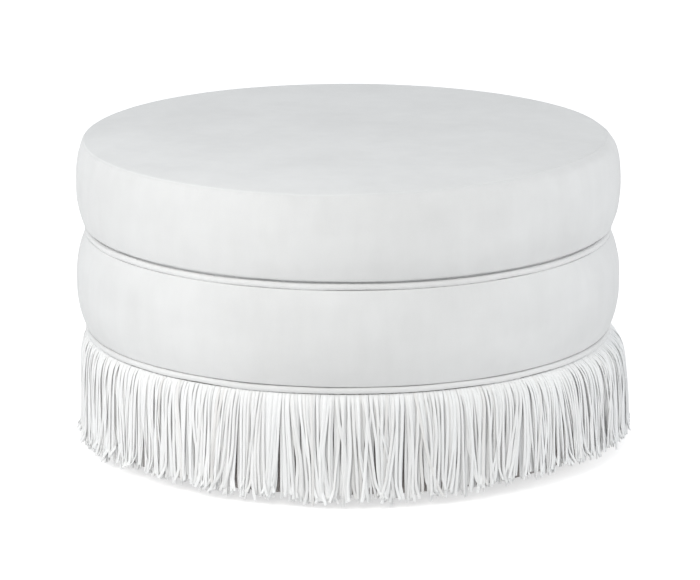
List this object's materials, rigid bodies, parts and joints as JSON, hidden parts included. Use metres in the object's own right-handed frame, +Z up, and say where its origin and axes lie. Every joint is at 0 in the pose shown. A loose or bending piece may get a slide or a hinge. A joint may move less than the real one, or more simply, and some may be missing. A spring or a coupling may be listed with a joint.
{
  "type": "tuffet",
  "caption": "Round upholstered tuffet: a crowned seat over a padded band, both velvet, with welted waists and a hanging fringe down to the floor.",
  "frame": {"origin": "centre of the floor under the tuffet, on its own upright axis", "axes": "+Z up along the tuffet's round axis; -Y towards the viewer of the picture; +X to the viewer's right"},
  "size_m": [0.7, 0.6999, 0.4],
  "materials": {
    "velvet": "matte",
    "fringe": "matte",
    "tape": "matte",
    "cord": "matte",
    "wadding": "matte",
    "foam": "matte",
    "plinth_fabric": "matte",
    "dust_cover": "matte",
    "tack_strip": "matte",
    "plywood": "matte",
    "pine": "matte",
    "hardboard": "matte",
    "steel": "satin",
    "foot_plastic": "matte"
  },
  "bodies": {
    "root": {"seat_foam": "foam", "seat_wadding": "wadding", "top_panel": "velvet", "upper_boxing": "velvet", "upper_welt": "velvet", "upper_welt_cord": "cord", "side_foam": "foam", "side_wadding": "wadding", "lower_boxing": "velvet", "upper_tack_strip": "tack_strip", "lower_tack_strip": "tack_strip", "upper_tack_staples": "steel", "lower_tack_staples": "steel", "lower_welt": "velvet", "lower_welt_cord": "cord", "fringe_tape": "tape", "tape_staples": "steel", "fringe_strands_inner": "fringe", "fringe_strands_outer": "fringe", "plinth_cover": "plinth_fabric", "drum_shell": "hardboard", "deck_board": "plywood", "deck_ring": "plywood", "waist_ring": "plywood", "base_board": "plywood", "posts": "pine", "deck_screws": "steel", "base_screws": "steel", "ring_screws": "steel", "dust_cover": "dust_cover", "dust_cover_staples": "steel", "feet": "foot_plastic", "foot_screws": "steel"}
  },
  "joints": []
}
